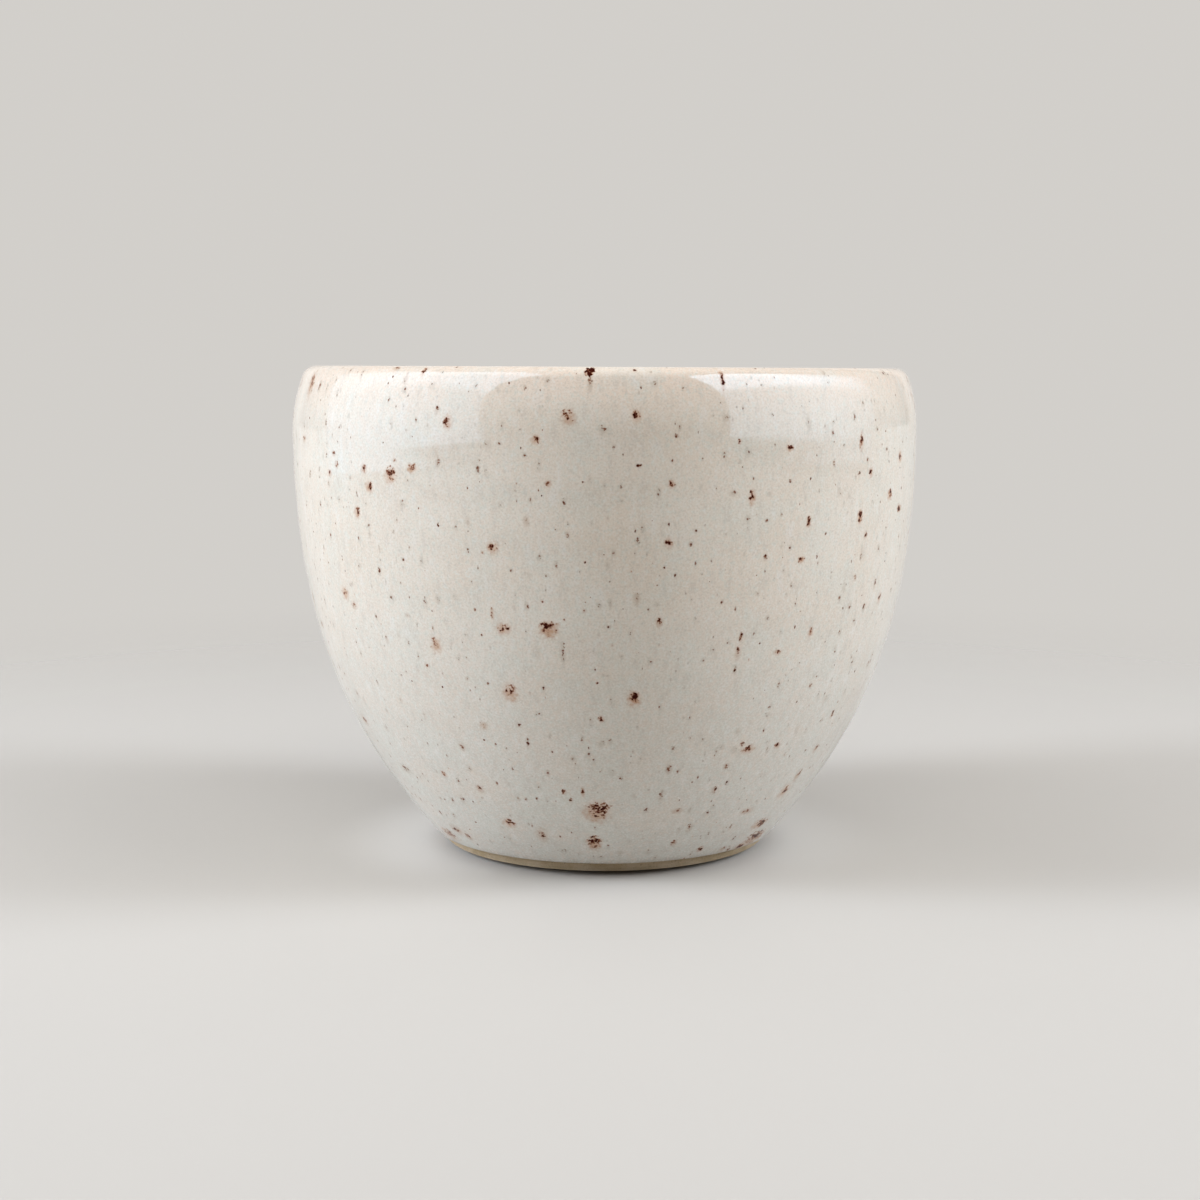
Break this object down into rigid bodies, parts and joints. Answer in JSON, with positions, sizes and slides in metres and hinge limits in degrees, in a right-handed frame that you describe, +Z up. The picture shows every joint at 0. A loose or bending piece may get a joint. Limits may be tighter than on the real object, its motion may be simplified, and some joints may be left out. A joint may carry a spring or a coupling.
{
  "type": "coffee cup",
  "caption": "Handleless round-bellied coffee cup of wheel-thrown stoneware on a turned bare foot ring, coated inside and out in a glossy speckled off-white glaze.",
  "frame": {"origin": "on the cup's axis, in the plane of the table that the foot ring stands on", "axes": "+Z up along the cup's axis through the open mouth; the cup is a solid of revolution, so X and Y are free, and -Y faces the picture's camera"},
  "size_m": [0.0904, 0.0904, 0.07],
  "materials": {
    "stoneware": "bare, fine-grained, matte",
    "outer_glaze": "glossy off-white with iron speckles",
    "liner_glaze": "glossy off-white with iron speckles"
  },
  "bodies": {
    "root": {"stoneware_body": "stoneware", "outer_glaze": "outer_glaze", "liner_glaze": "liner_glaze"}
  },
  "joints": []
}
